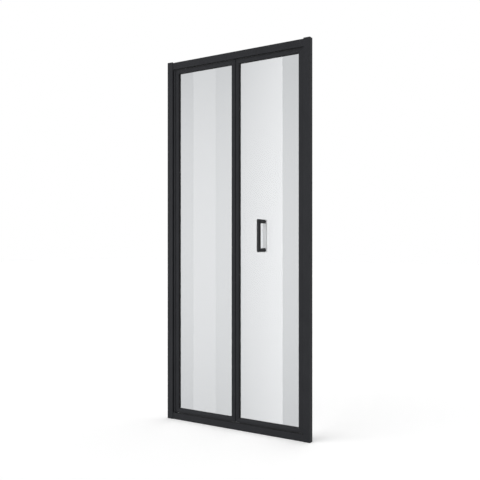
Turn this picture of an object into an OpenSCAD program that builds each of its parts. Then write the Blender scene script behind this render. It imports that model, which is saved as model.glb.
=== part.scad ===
// Two-panel folding shower door: matt black aluminium frame, clear glass, bar handle.
// X runs across the opening, -Y faces the bather coming in, Z is up.
// The origin lies on the underside of the sill, below the fold line, in the plane of the pivot pins.

/* [Opening] */
// Width across both wall channels
door_w = 840; // [780:10:1000]
// Height of the wall channels
door_h = 1900; // [1750:10:2000]

/* [Wall channels] */
// Width of a channel's front face
channel_face = 34; // [32:1:40]
// Depth of a channel from front to back
channel_depth = 28; // [26:1:32]
// Wall of a channel
channel_wall = 1.8; // [1.4:0.1:2.2]
// Width of a channel's back leg
channel_back_leg = 30; // [28:1:31]
// Free space in a channel behind the jamb, taken up when the door is fitted wider
channel_travel = 14; // [10:1:16]
// Height of a channel above the head rail
channel_rise = 3.5; // [2.5:0.5:8]
// Radius of a wall screw hole
wall_hole_r = 2.75; // [2:0.25:3.5]
// Distance of the end wall screw holes from the channel's ends
wall_hole_inset = 120; // [60:10:250]
// Play between a channel and the jamb that slides in it
slide_play = 0.3; // [0.2:0.05:0.6]

/* [Outer frame] */
// Height of the head rail's face
head_face = 36; // [32:1:44]
// Height of the sill's front lip
sill_lip = 34; // [32:1:40]
// Height of the sill's deck, under the panels
sill_deck = 28; // [24:1:30]
// Depth of the sill's front lip
sill_lip_depth = 5.4; // [5:0.2:8]
// Wall of the head rail and the sill
rail_wall = 2; // [1.8:0.1:2.4]
// Thickness of the sill's base
sill_base = 3.2; // [3:0.1:4]
// Wall of a jamb
jamb_wall = 1.8; // [1.4:0.1:2]
// Step from the channel's front face back to the panels' faces
face_step = 11; // [10:0.5:14]
// Reach of the frame behind the pivot plane
frame_back = 15; // [15:0.5:20]
// Width of the cover strip's lip in front of a panel's round edge
jamb_lip = 12.5; // [8:0.5:12.5]
// Step from the cover strip's face back to the panels' faces
lip_step = 3; // [2.8:0.1:4]
// Half of the track's inner width
track_half = 12.5; // [12:0.25:12.5]
// Half of the slot in the track
slot_half = 4.6; // [4.5:0.05:4.8]
// Length of a weep slot in the sill
weep_length = 14; // [8:1:24]
// Height of a weep slot
weep_height = 3; // [2:0.5:5]

/* [Panels] */
// Thickness of a panel's frame
panel_t = 26; // [24:1:28]
// Width of a stile beside the fold
fold_stile = 21; // [20:0.5:26]
// Distance from a pin's axis to the glass edge of its stile
pin_to_sight = 16.5; // [16:0.5:22]
// Height of the top and bottom rails
panel_rail = 20; // [19:0.5:28]
// Width of the sloped edge beside the glass
slope_w = 8; // [7:0.5:9]
// Depth of the sloped edge
slope_d = 3; // [1.5:0.5:4]
// Wall of a panel profile
profile_wall = 1.6; // [1.3:0.1:2]
// Gap between the two stiles at the fold
fold_gap = 2; // [1.5:0.25:3]
// Gap between a panel's round edge and its jamb
edge_gap = 1.5; // [1.25:0.25:2.5]
// Gap above and below the panels
rail_gap = 3; // [2.5:0.25:5]

/* [Glass] */
// Thickness of the glass
glass_t = 5; // [4:0.5:6]
// Gap between the edge of the glass and the bottom of its groove
glass_clear = 1; // [0.5:0.25:2]
// Thickness of a glazing gasket
gasket_t = 2.1; // [1.6:0.1:2.4]
// Width of gasket that shows beside a profile
gasket_lip = 1.6; // [0.8:0.2:3]

/* [Fold hinge] */
// Radius of the knuckles
knuckle_r = 4.5; // [4:0.25:5]
// Radius of the fold pin
fold_pin_r = 2; // [1.5:0.25:2.5]
// Number of knuckles on the fold
knuckle_count = 13; // [7:2:19]
// Gap between two knuckles
knuckle_gap = 0.5; // [0.3:0.1:1]
// Clearance between a knuckle and the hollow it turns in
knuckle_clear = 0.3; // [0.2:0.05:0.5]

/* [Pins and carriage] */
// Radius of the pivot, carriage and guide pins
pin_r = 4; // [3.5:0.25:4]
// Running clearance of a pin in its bore, on the radius
run_clear = 0.05; // [0.03:0.01:0.08]
// Length of a pin inside its corner block
pin_grip = 30; // [20:1:36]
// Length of a pivot block
pivot_block_l = 36; // [32:1:48]
// Length of the carriage
carriage_l = 34; // [30:1:36]
// Radius of a carriage wheel
wheel_r = 8.5; // [7:0.25:8.5]
// Width of a carriage wheel
wheel_w = 5.6; // [4:0.2:6]
// Distance between the two axles
wheelbase = 20; // [18:1:20]
// Radius of an axle
axle_r = 2; // [1.5:0.25:2.5]
// Length of the guide shoe in the sill
shoe_l = 34; // [24:1:50]
// Angle that the left panel opens to
fold_limit = 80; // [60:1:80]

/* [Handle] */
// Diameter of the handle bar
bar_d = 20; // [14:0.5:22]
// Distance between the handle's posts
post_pitch = 140; // [110:5:220]
// Distance of the bar's axis from the glass
bar_reach = 54; // [45:1:54]
// Distance of the handle from the fold line
handle_x = 163; // [150:1:200]
// Height of the handle's middle
handle_z = 971; // [850:10:1100]
// Width of the inner plate
plate_w = 22; // [20:1:34]
// Thickness of the inner plate
plate_t = 4; // [3:0.5:6]
// Thickness of the pads against the glass
pad_t = 1; // [0.6:0.1:1.6]
// Radius of a handle hole in the glass
glass_hole_r = 6; // [5:0.5:7]
// Radius of a handle bolt
bolt_r = 3; // [2.5:0.25:3.5]

/* [Hidden] */
$fn = 48;

eps = 0.01;
// Clearance between pieces that are fixed to each other
seat = 0.05;
// How far a cut runs past the face that it opens
cut = 1;
black = [0.20, 0.21, 0.22];
dark = [0.12, 0.12, 0.13];
steel = [0.72, 0.73, 0.75];
nylon = [0.16, 0.16, 0.17];
clear = [0.80, 0.87, 0.88, 0.35];

half_w = door_w / 2;
front_y = -(panel_t / 2 + face_step);
channel_back_y = front_y + channel_depth;
// Front of the head rail, the sill and the jambs' tongues, inside the channels
frame_y = front_y + channel_wall + slide_play;
tongue_back_y = channel_back_y - channel_wall - slide_play;
frame_half = half_w - channel_travel;
head_top = door_h - channel_rise;
head_z = head_top - head_face;
// A jamb's tongue ends inside its channel, and its nose stands just past the channel's edge
tongue_end = channel_face - 0.7;
nose_w = channel_face + 0.5;
lip_y = -(panel_t / 2 + lip_step);
pin_w = nose_w + edge_gap + panel_t / 2;
pin_x = half_w - pin_w;
sight_x = pin_x - pin_to_sight;
fold_sight_x = fold_gap / 2 + fold_stile;
panel_z = sill_lip + rail_gap;
panel_top = head_z - rail_gap;
sight_z = panel_z + panel_rail;
sight_top = panel_top - panel_rail;
half_t = panel_t / 2;
slope_y = half_t - slope_d;
groove_half = glass_t / 2 + gasket_t + seat;
glass_grip = slope_w - glass_clear;

// The fold axis lies in the outside faces of the panels
axis_y = -half_t;
link = sqrt(pin_x * pin_x + axis_y * axis_y);
lead_angle = atan(half_t / pin_x);
carriage_open_x = -pin_x + 2 * link * cos(fold_limit - lead_angle);
knuckle_pitch = (panel_top - panel_z) / knuckle_count;

track_floor = head_z + rail_wall;
track_roof = head_top - rail_wall;
chamber_top = sill_deck - rail_wall;
axle_z = track_floor + wheel_r + seat;

// Moves a drawing made from the left wall's face into the door
module at_left() translate([-half_w, 0, 0]) children();
module at_right() mirror([1, 0, 0]) at_left() children();

// A rectangle between two corners with round corners
module round_box(low, high, r) {
    size = high - low;
    translate([low[0] + r, low[1]]) square([size[0] - 2 * r, size[1]]);
    translate([low[0], low[1] + r]) square([size[0], size[1] - 2 * r]);
    for (x = [low[0] + r, high[0] - r], y = [low[1] + r, high[1] - r])
        translate([x, y]) circle(r = r, $fn = 24);
}

module box(low, high) translate(low) cube(high - low);

// Turns a drawing of Y and Z into a bar along X
module bar_x(x0, x1) translate([x0, 0, 0]) rotate([90, 0, 90]) linear_extrude(x1 - x0) children();

// Turns a drawing of X and Z into a slab along Y
module slab_y(y0, y1) translate([0, y1, 0]) rotate([90, 0, 0]) linear_extrude(y1 - y0) children();

module rod_z(x, y, z0, z1, r) translate([x, y, z0]) cylinder(r = r, h = z1 - z0);
module rod_y(x, z, y0, y1, r) translate([x, y1, z]) rotate([90, 0, 0]) cylinder(r = r, h = y1 - y0);
module rod_x(y, z, x0, x1, r) translate([x0, y, z]) rotate([0, 90, 0]) cylinder(r = r, h = x1 - x0);

// Wall channels

wall_hole_y = (front_y + channel_back_y) / 2;
wall_hole_z = [wall_hole_inset, door_h - wall_hole_inset];

// Ribs that grip the sealant on the web
rib_h = 0.8;
rib_w = 1.2;

// Screws: the shank, its head and the play of the holes that it passes
screw_r = 1.9;
screw_head_r = 3.6;
screw_head_h = 2;
screw_play = 0.3;

// Round ports in the jamb's tongue, for the screws through the rails
port_r = 3.4;
port_w = channel_travel + jamb_wall + 2.6;
port_inset = 3;
port_y = [frame_y + jamb_wall + port_inset, tongue_back_y - jamb_wall - port_inset];

// Screws that fix a jamb in its channel, set from the inside, beside the ports
screw_w = port_w + port_r + screw_r + screw_play;
screw_heights = [door_h * 0.16, door_h * 0.5, door_h * 0.84];

module channel_section() {
    difference() {
        round_box([0, front_y], [channel_face, channel_back_y], channel_wall / 2);
        translate([channel_wall, front_y + channel_wall])
            square([channel_face, channel_depth - 2 * channel_wall]);
        translate([channel_back_leg, channel_back_y - channel_wall - eps])
            square([channel_face, channel_wall + cut]);
    }
    for (y = [-1, 1]) translate([channel_wall - eps, wall_hole_y + y * channel_depth / 4])
        square([rib_h, rib_w]);
}

module wall_channel() difference() {
    linear_extrude(door_h) channel_section();
    for (z = wall_hole_z) rod_x(wall_hole_y, z, -cut, channel_wall + cut, wall_hole_r);
    for (z = screw_heights)
        rod_y(screw_w, z, channel_back_y - channel_wall - cut, channel_back_y + cut, screw_r + screw_play);
}

module wall_channel_left() color(black) at_left() wall_channel();
module wall_channel_right() color(black) at_right() wall_channel();

cap_t = 1.2;

module channel_cap() box([channel_wall + rib_h + seat, front_y + channel_wall + seat, door_h - cap_t],
                         [channel_back_leg, channel_back_y - channel_wall - seat, door_h]);

module channel_caps() color(nylon) {
    at_left() channel_cap();
    at_right() channel_cap();
}

// Jambs: a hollow tongue in the channel and a nose beside the panel, with a strip clipped to the nose

strip_wall = 1.8;
strip_leg = 5;
magnet_half = 5;
magnet_seat = 1.2;
nose_front = lip_y + strip_wall + seat;

module jamb_section() difference() {
    union() {
        translate([channel_travel, frame_y])
            square([tongue_end - channel_travel, tongue_back_y - frame_y]);
        translate([nose_w - jamb_wall, nose_front]) square([jamb_wall, frame_back - nose_front]);
        // Flange that stiffens the nose behind the channel
        translate([channel_back_leg + 1, frame_back - jamb_wall])
            square([nose_w - channel_back_leg - 1, jamb_wall]);
    }
    difference() {
        translate([channel_travel + jamb_wall, frame_y + jamb_wall])
            square([tongue_end - channel_travel - 2 * jamb_wall, tongue_back_y - frame_y - 2 * jamb_wall]);
        for (y = port_y) translate([port_w, y]) circle(r = port_r);
    }
    for (y = port_y) translate([port_w, y]) circle(r = screw_r);
    // Seat of the seal or magnet strip in the nose
    translate([nose_w - magnet_seat, -magnet_half - seat])
        square([magnet_seat + cut, 2 * (magnet_half + seat)]);
}

// A jamb stands on the sill's deck, notched round the sill's front lip
module jamb() difference() {
    translate([0, 0, sill_deck]) linear_extrude(head_z - sill_deck) jamb_section();
    box([0, front_y, 0], [nose_w + cut, frame_y + sill_lip_depth + seat, sill_lip]);
    for (z = screw_heights)
        rod_y(screw_w, z, tongue_back_y - jamb_wall - cut, tongue_back_y + cut, screw_r);
}

module jamb_left() color(black) at_left() jamb();
module jamb_right() color(black) at_right() jamb();

// The cover strip's lip hides the gap beside a panel's round edge, its leg lies on the jamb's nose
module cover_strip() translate([0, 0, sill_deck]) linear_extrude(head_z - sill_deck) {
    translate([tongue_end + seat, lip_y])
        square([nose_w + jamb_lip - strip_wall / 2 - tongue_end - seat, strip_wall]);
    translate([nose_w + jamb_lip - strip_wall / 2, lip_y + strip_wall / 2])
        circle(r = strip_wall / 2, $fn = 24);
    translate([nose_w + seat, lip_y]) square([strip_wall * 2 / 3, strip_wall + strip_leg]);
}

module cover_strip_left() color(black) at_left() cover_strip();
module cover_strip_right() color(black) at_right() cover_strip();

module strip(proud) translate([0, 0, sill_lip + rail_wall])
    linear_extrude(head_z - sill_lip - 2 * rail_wall) translate([nose_w - magnet_seat + seat, -magnet_half])
        square([proud + magnet_seat - seat, 2 * magnet_half]);

// The seal stands close to the round edge of the left stile, the magnet clears the leading edge
seal_clear = 0.3;
magnet_clear = 0.8;
module jamb_seal() color(dark) at_left() strip(edge_gap - seal_clear);
module strike_magnet() color(dark) at_right() strip(edge_gap - magnet_clear);

module channel_screw(z) {
    rod_y(screw_w, z, tongue_back_y - 8, channel_back_y + eps, screw_r - seat);
    rod_y(screw_w, z, channel_back_y, channel_back_y + screw_head_h, screw_head_r);
}

module channel_screws() color(steel) for (z = screw_heights) {
    at_left() channel_screw(z);
    at_right() channel_screw(z);
}

// A snap-on cap over a screw's head, with a chamfered rim
cover_wall = 0.8;
cover_r = screw_head_r + 2 * cover_wall;

module screw_cover(z) translate([screw_w, channel_back_y, z]) rotate([-90, 0, 0]) difference() {
    union() {
        cylinder(r = cover_r, h = screw_head_h + cover_wall);
        translate([0, 0, screw_head_h + cover_wall - eps])
            cylinder(r1 = cover_r, r2 = cover_r - cover_wall, h = cover_wall);
    }
    translate([0, 0, -cut]) cylinder(r = screw_head_r + 2 * seat, h = screw_head_h + 2 * seat + cut);
}

module screw_covers() color(nylon) for (z = screw_heights) {
    at_left() screw_cover(z);
    at_right() screw_cover(z);
}

// Head rail with the carriage track

front_leg_y = -(track_half + rail_wall);
edge_r = 0.8;

module head_section() difference() {
    round_box([frame_y, head_z], [frame_back, head_top], edge_r);
    translate([frame_y + rail_wall, track_floor])
        square([front_leg_y - frame_y - rail_wall, track_roof - track_floor]);
    translate([-track_half, track_floor]) square([2 * track_half, track_roof - track_floor]);
    translate([-slot_half, head_z - cut]) square([2 * slot_half, rail_wall + 2 * cut]);
}

// Clears the back legs of the channels at both ends of a rail
module end_notches(z0, z1) for (s = [-1, 1]) {
    x0 = half_w - channel_back_leg - 2 * slide_play;
    box([s > 0 ? x0 : -half_w, tongue_back_y, z0], [s > 0 ? half_w : -x0, frame_back + cut, z1]);
}

module port_rods(z0, z1, r) for (y = port_y) {
    at_left() rod_z(port_w, y, z0, z1, r);
    at_right() rod_z(port_w, y, z0, z1, r);
}

module head_rail() color(black) difference() {
    bar_x(-frame_half, frame_half) head_section();
    end_notches(head_z - cut, head_top + cut);
    port_rods(head_z - cut, head_top + cut, screw_r + screw_play);
}

// Sill with the guide channel under its deck

module sill_outline() {
    round_box([frame_y, 0], [frame_y + sill_lip_depth, sill_lip], edge_r);
    translate([frame_y, 0]) square([frame_back - frame_y, sill_deck]);
}

module sill_section() difference() {
    sill_outline();
    translate([frame_y + rail_wall, sill_base])
        square([front_leg_y - frame_y - rail_wall, chamber_top - sill_base]);
    translate([frame_y + rail_wall, sill_base])
        square([sill_lip_depth - 2 * rail_wall, sill_lip - rail_wall - sill_base]);
    translate([-track_half, sill_base]) square([2 * track_half, chamber_top - sill_base]);
    translate([-slot_half, chamber_top - cut]) square([2 * slot_half, rail_wall + 2 * cut]);
}

weep_count = 4;
weep_z = sill_base + 0.5;
// Height of the sunk screw heads under the sill
sunk = 0.2;

module sill_rail() color(black) difference() {
    bar_x(-frame_half, frame_half) sill_section();
    end_notches(-cut, sill_lip + cut);
    port_rods(-cut, sill_lip + cut, screw_r + screw_play);
    port_rods(-cut, screw_head_h + sunk, screw_head_r + screw_play);
    for (i = [0 : weep_count - 1]) {
        x = (i - (weep_count - 1) / 2) * pin_x * 2 / weep_count;
        box([x - weep_length / 2, track_half - cut, weep_z],
            [x + weep_length / 2, frame_back + cut, weep_z + weep_height]);
    }
}

// Screws through the rails into the jambs' ports
port_bite = 20;

module frame_screws() color(steel) {
    port_rods(head_z - port_bite, head_top + eps, screw_r - seat);
    port_rods(head_top, head_top + screw_head_h, screw_head_r);
    port_rods(sunk + screw_head_h - eps, sill_lip + port_bite, screw_r - seat);
    port_rods(sunk, sunk + screw_head_h, screw_head_r);
}

// Pivot blocks, locked in the track and in the sill by grub screws

block_half = track_half - 0.3;
block_h = 18;
key_half = slot_half - 0.15;
grub_r = 2.5;
grub_x = pivot_block_l / 2 - 5.5;
thrust_z = sill_base + 5;

module pivot_block_top() color(nylon) difference() {
    union() {
        box([-pin_x - pivot_block_l / 2, -block_half, track_floor + seat],
            [-pin_x + pivot_block_l / 2, block_half, track_floor + block_h]);
        box([-pin_x - pivot_block_l / 2, -key_half, head_z + 0.3],
            [-pin_x + pivot_block_l / 2, key_half, track_floor + 1]);
    }
    rod_z(-pin_x, 0, head_z, track_floor + block_h + 1, pin_r + run_clear);
    for (s = [-1, 1]) rod_z(-pin_x + s * grub_x, 0, head_z, track_floor + block_h + 1, grub_r + seat);
}

module pivot_block_bottom() color(nylon) difference() {
    union() {
        box([-pin_x - pivot_block_l / 2, -block_half, sill_base + seat],
            [-pin_x + pivot_block_l / 2, block_half, chamber_top - seat]);
        box([-pin_x - pivot_block_l / 2, -key_half, chamber_top - 1],
            [-pin_x + pivot_block_l / 2, key_half, sill_deck - 0.3]);
    }
    rod_z(-pin_x, 0, thrust_z, sill_deck, pin_r + run_clear);
    for (s = [-1, 1]) rod_z(-pin_x + s * grub_x, 0, sill_base, sill_deck, grub_r + seat);
}

module grub(x, z0, z1, socket_z) difference() {
    rod_z(x, 0, z0, z1, grub_r);
    translate([x, 0, socket_z]) cylinder(r = 1.3, h = 4, center = true, $fn = 6);
}

module pivot_block_screws() color(steel) for (s = [-1, 1]) {
    x = -pin_x + s * grub_x;
    grub(x, track_floor + 1, track_roof - seat, track_floor + 1);
    grub(x, sill_base + seat, chamber_top - 4, chamber_top - 4);
}

// Rubber-faced block that ends the carriage's run
stop_l = 20;
stop_clear = 1.5;

module track_stop() color(nylon) {
    x1 = carriage_open_x - carriage_l / 2 - stop_clear;
    slab_y(-block_half, block_half)
        round_box([x1 - stop_l, track_floor + seat], [x1, track_roof - seat], 3);
}

// Panel profiles, drawn from the glass edge (u = 0) outwards, with v across the panel

module profile_outline(u1) polygon([
    [0, -slope_y], [slope_w, -half_t], [u1, -half_t], [u1, half_t], [slope_w, half_t], [0, slope_y]
]);

module glass_groove() translate([-1, -groove_half]) square([slope_w + 1, 2 * groove_half]);

// Hollows inside the two legs that hold the glass, from the glass edge to u1
module leg_hollows(u1) for (s = [-1, 1]) {
    inner = groove_half + profile_wall;
    shoulder = min(slope_w, u1);
    polygon([
        [profile_wall, s * inner], [u1, s * inner], [u1, s * (half_t - profile_wall)],
        [shoulder, s * (half_t - profile_wall)],
        [profile_wall, s * max(inner + 0.1, slope_y - profile_wall)]
    ]);
}

module rail_section() difference() {
    profile_outline(panel_rail);
    glass_groove();
    leg_hollows(slope_w + profile_wall);
    translate([slope_w + profile_wall, -half_t + profile_wall])
        square([panel_rail - slope_w - 2 * profile_wall, panel_t - 2 * profile_wall]);
}

// Outer stile: the edge is round about the pin, so that it turns inside the jamb's lip
edge_wall = 2.4;
core_r = half_t - edge_wall;

module outer_stile_section() difference() {
    union() {
        profile_outline(pin_to_sight);
        translate([pin_to_sight, 0]) circle(r = half_t, $fn = 96);
    }
    glass_groove();
    leg_hollows(slope_w - profile_wall / 2);
    outer_core(0);
}

module outer_core(clearance) intersection() {
    translate([pin_to_sight, 0]) circle(r = core_r - clearance, $fn = 96);
    translate([slope_w + profile_wall + clearance, -half_t]) square([2 * panel_t, panel_t]);
}

// Fold stile: the chamber keeps a wall round the hollow of the knuckles
core_front = -half_t + knuckle_r + knuckle_clear + edge_wall;

module fold_core(clearance) {
    u0 = slope_w + profile_wall + clearance;
    u1 = fold_stile - profile_wall - clearance;
    translate([u0, core_front + clearance])
        square([u1 - u0, half_t - profile_wall - core_front - 2 * clearance]);
}

module fold_stile_section() difference() {
    profile_outline(fold_stile);
    glass_groove();
    leg_hollows(slope_w + profile_wall);
    fold_core(0);
}

// Notches at a stile's ends, where the rails run in over the sloped edge to a short mitre
module stile_notches() {
    reach = 1;
    slab_y(-half_t - 1, half_t + 1) {
        polygon([
            [-reach, panel_z - reach], [slope_w, panel_z - reach], [slope_w, sight_z - slope_w],
            [-reach, sight_z + reach]
        ]);
        polygon([
            [-reach, panel_top + reach], [slope_w, panel_top + reach], [slope_w, sight_top + slope_w],
            [-reach, sight_top - reach]
        ]);
    }
}

// Windows that let the corner blocks reach from a stile into the rails
block_clear = 0.1;
arm_half = half_t - profile_wall - block_clear;
neck_half = core_r * 0.65;
arm_low = profile_wall + block_clear;
arm_high = panel_rail - slope_w - profile_wall - block_clear;
arm_l = 34;
corner_l = 44;

module stile_windows(y0, y1) {
    u0 = slope_w - 1;
    u1 = slope_w + profile_wall + 1;
    box([u0, y0 - seat, panel_z + arm_low - seat], [u1, y1 + seat, panel_z + arm_high + seat]);
    box([u0, y0 - seat, panel_top - arm_high - seat], [u1, y1 + seat, panel_top - arm_low + seat]);
}

module stile_body(window_y0, window_y1) difference() {
    translate([0, 0, panel_z]) linear_extrude(panel_top - panel_z) children();
    stile_notches();
    stile_windows(window_y0, window_y1);
}

// Placing of stiles: the left panel's outer and fold stile, drawn from their glass edges
module at_outer_sight() translate([-sight_x, 0, 0]) mirror([1, 0, 0]) children();
module at_fold_sight() translate([-fold_sight_x, 0, 0]) children();

module outer_stile() at_outer_sight() stile_body(-neck_half, neck_half) outer_stile_section();
module pivot_stile() color(black) outer_stile();

lead_slot_w = 8;
lead_slot_d = 2.2;

module lead_stile() color(black) mirror([1, 0, 0]) difference() {
    outer_stile();
    box([-pin_x - half_t - 1, -lead_slot_w / 2, panel_z - 1],
        [-pin_x - half_t + lead_slot_d, lead_slot_w / 2, panel_top + 1]);
}

module lead_magnet() color(dark) intersection() {
    box([pin_x + half_t - lead_slot_d + seat, -lead_slot_w / 2 + seat, panel_z],
        [pin_x + half_t + 1, lead_slot_w / 2 - seat, panel_top]);
    rod_z(pin_x, 0, panel_z, panel_top, half_t - 0.2);
}

// Knuckles alternate between the stiles, the left panel holds the first and the last
module knuckles(first, r, grow) for (i = [first : 2 : knuckle_count - 1])
    rod_z(0, axis_y, panel_z + i * knuckle_pitch + knuckle_gap / 2 - grow,
          panel_z + (i + 1) * knuckle_pitch - knuckle_gap / 2 + grow, r);

module hinged_stile(own, other) difference() {
    union() {
        at_fold_sight() stile_body(core_front + block_clear, arm_half) fold_stile_section();
        knuckles(own, knuckle_r, 0);
    }
    knuckles(other, knuckle_r + knuckle_clear, knuckle_gap);
    rod_z(0, axis_y, panel_z - 1, panel_top + 1, fold_pin_r + run_clear);
    if (own == 1) for (z = [panel_z - 1, panel_top - knuckle_gap / 2])
        rod_z(0, axis_y, z, z + 1 + knuckle_gap / 2, knuckle_r + knuckle_clear);
}

module fold_stile_a() color(black) difference() {
    hinged_stile(0, 1);
    box([-fold_gap / 2 - seal_seat, seal_y0 - seat, panel_z - 1], [0, seal_y1 + seat, panel_top + 1]);
}

module fold_stile_b() color(black) mirror([1, 0, 0]) hinged_stile(1, 0);

module fold_pin() color(steel) rod_z(0, axis_y, panel_z + 1, panel_top - 1, fold_pin_r);

// Seal in the fold gap, held by the left panel
seal_seat = 0.8;
seal_y0 = 3;
seal_y1 = 9;
module fold_seal() color(dark)
    box([-fold_gap / 2 - seal_seat + seat, seal_y0, panel_z], [fold_gap / 2 - 0.3, seal_y1, panel_top]);

// Rails between the stiles, their ends cut to the stiles' notches
module rail_ends(z_out, z_in) {
    d = z_in > z_out ? -1 : 1;
    slab_y(-panel_t, panel_t) polygon([
        [-sight_x - slope_w + seat, z_out], [-sight_x - slope_w + seat, z_in + d * (slope_w - seat)],
        [-sight_x + seat, z_in], [-fold_sight_x - seat, z_in],
        [-fold_sight_x + slope_w - seat, z_in + d * (slope_w - seat)], [-fold_sight_x + slope_w - seat, z_out]
    ]);
}

corner_screw_x = [sight_x - 16, fold_sight_x + 16];
corner_screw_z = [panel_z + (panel_rail - slope_w) / 2, panel_top - (panel_rail - slope_w) / 2];

// Countersunk screws through the rails into the corner blocks
sink_r = screw_r + 2;

module screw_holes(z) for (x = corner_screw_x) {
    rod_y(-x, z, 0, half_t + cut, screw_r + screw_play / 2);
    translate([-x, half_t, z]) rotate([90, 0, 0])
        cylinder(r1 = sink_r, r2 = screw_r + screw_play / 2, h = profile_wall + screw_play);
}

module bottom_rail() difference() {
    intersection() {
        bar_x(-sight_x - slope_w, -fold_sight_x + slope_w)
            translate([0, sight_z]) rotate(-90) rail_section();
        rail_ends(panel_z, sight_z);
    }
    screw_holes(corner_screw_z[0]);
}

module top_rail() difference() {
    intersection() {
        bar_x(-sight_x - slope_w, -fold_sight_x + slope_w)
            translate([0, sight_top]) rotate(90) rail_section();
        rail_ends(panel_top, sight_top);
    }
    screw_holes(corner_screw_z[1]);
}

module top_rail_a() color(black) top_rail();
module bottom_rail_a() color(black) bottom_rail();
module top_rail_b() color(black) mirror([1, 0, 0]) top_rail();
module bottom_rail_b() color(black) mirror([1, 0, 0]) bottom_rail();

// Corner blocks: a leg in the stile and an arm in the rail

module arm(x0, x1, y1, top) {
    z = top ? panel_top - arm_high : panel_z + arm_low;
    box([x0, -y1, z], [x1, y1, z + arm_high - arm_low]);
}

module outer_corner(top) difference() {
    union() {
        translate([0, 0, top ? panel_top - corner_l : panel_z])
            at_outer_sight() linear_extrude(corner_l) outer_core(block_clear);
        arm(-sight_x - slope_w + seat, -sight_x + arm_l, arm_half, top);
        arm(-pin_x, -sight_x - slope_w + 1, neck_half, top);
    }
    // Bore of the pin
    z = top ? panel_top - pin_grip : panel_z - 1;
    rod_z(-pin_x, 0, z, z + pin_grip + 1, pin_r + run_clear);
    corner_holes(top, corner_screw_x[0]);
}

module corner_holes(top, x) rod_y(-x, corner_screw_z[top ? 1 : 0], -1, half_t, screw_r);

module pivot_corner_top() color(dark) outer_corner(true);
module pivot_corner_bottom() color(dark) outer_corner(false);
module lead_corner_top() color(dark) mirror([1, 0, 0]) outer_corner(true);
module lead_corner_bottom() color(dark) mirror([1, 0, 0]) outer_corner(false);

module fold_corner(top) difference() {
    union() {
        translate([0, 0, top ? panel_top - corner_l : panel_z])
            at_fold_sight() linear_extrude(corner_l) fold_core(block_clear);
        intersection() {
            arm(-fold_sight_x - arm_l, -fold_gap / 2 - profile_wall - block_clear, arm_half, top);
            box([-door_w, core_front + block_clear, 0], [0, half_t, door_h]);
        }
    }
    corner_holes(top, corner_screw_x[1]);
}

module fold_corners_a() color(dark) for (top = [false, true]) fold_corner(top);
module fold_corners_b() color(dark) mirror([1, 0, 0]) for (top = [false, true]) fold_corner(top);

hex_r = 1.1;

module corner_screw(x, z) {
    rod_y(-x, z, seat, half_t - profile_wall, screw_r - seat);
    translate([-x, half_t - block_clear, z]) rotate([90, 0, 0]) difference() {
        cylinder(r1 = sink_r - block_clear, r2 = screw_r - seat, h = profile_wall);
        translate([0, 0, -eps]) cylinder(r = hex_r, h = profile_wall * 0.7, $fn = 6);
    }
}

module corner_screw_set() for (x = corner_screw_x, z = corner_screw_z) corner_screw(x, z);
module corner_screws_a() color(steel) corner_screw_set();
module corner_screws_b() color(steel) mirror([1, 0, 0]) corner_screw_set();

// Glass and its gaskets

module pane() box([-sight_x - glass_grip, -glass_t / 2, sight_z - glass_grip],
                  [-fold_sight_x + glass_grip, glass_t / 2, sight_top + glass_grip]);

module glass_a() color(clear) pane();

post_z = [handle_z - post_pitch / 2, handle_z + post_pitch / 2];

module glass_b() color(clear) difference() {
    mirror([1, 0, 0]) pane();
    for (z = post_z) rod_y(handle_x, z, -glass_t, glass_t, glass_hole_r);
}

// Gasket strip, from inside the groove (u > 0) to its round lip on the glass
module gasket_section() for (s = [-1, 1]) {
    y0 = glass_t / 2 + seat / 2;
    y1 = groove_half - seat / 2;
    translate([0, s > 0 ? y0 : -y1]) square([glass_grip, y1 - y0]);
    translate([-gasket_lip + (y1 - y0) / 2, s > 0 ? y0 : -y1]) square([gasket_lip, y1 - y0]);
    translate([-gasket_lip + (y1 - y0) / 2, s * (y0 + y1) / 2]) circle(r = (y1 - y0) / 2, $fn = 24);
}

module gaskets() {
    for (side = [0, 1]) translate([0, 0, sight_z + gasket_lip + seat])
        linear_extrude(sight_top - sight_z - 2 * (gasket_lip + seat))
            translate([side ? -fold_sight_x : -sight_x, 0]) mirror([side ? 0 : 1, 0]) gasket_section();
    bar_x(-sight_x, -fold_sight_x) translate([0, sight_z]) rotate(-90) gasket_section();
    bar_x(-sight_x, -fold_sight_x) translate([0, sight_top]) rotate(90) gasket_section();
}

module gaskets_a() color(dark) gaskets();
module gaskets_b() color(dark) mirror([1, 0, 0]) gaskets();

// Drip seal: a foot under the bottom rail and a blade down to the sill's deck
drip_y = -7;
drip_foot = 9;
drip_blade = 1.4;

module drip_seal() {
    x0 = -sight_x + 2;
    x1 = -fold_sight_x - 2;
    box([x0, drip_y - drip_foot / 2, panel_z - 1.2], [x1, drip_y + drip_foot / 2, panel_z - seat]);
    box([x0, drip_y - drip_blade / 2, sill_deck + 0.5], [x1, drip_y + drip_blade / 2, panel_z - 1.2 + eps]);
}

module drip_seal_a() color(dark) drip_seal();
module drip_seal_b() color(dark) mirror([1, 0, 0]) drip_seal();

// Pivot pins: the lower one carries the door on its end and has a collar above the deck

module pivot_pin_top() color(steel)
    rod_z(-pin_x, 0, panel_top - pin_grip + 0.2, track_floor + block_h - 2, pin_r);

collar_r = 7;
module pivot_pin_bottom() color(steel) {
    rod_z(-pin_x, 0, thrust_z + seat, panel_z + pin_grip - 1.2, pin_r);
    rod_z(-pin_x, 0, sill_deck + 0.4, panel_z - 0.4, collar_r);
}

// Carriage with two axles in the head track

carriage_half = slot_half - 0.4;
carriage_z0 = track_floor + 2;
carriage_z1 = axle_z + wheel_r + 2;

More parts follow.
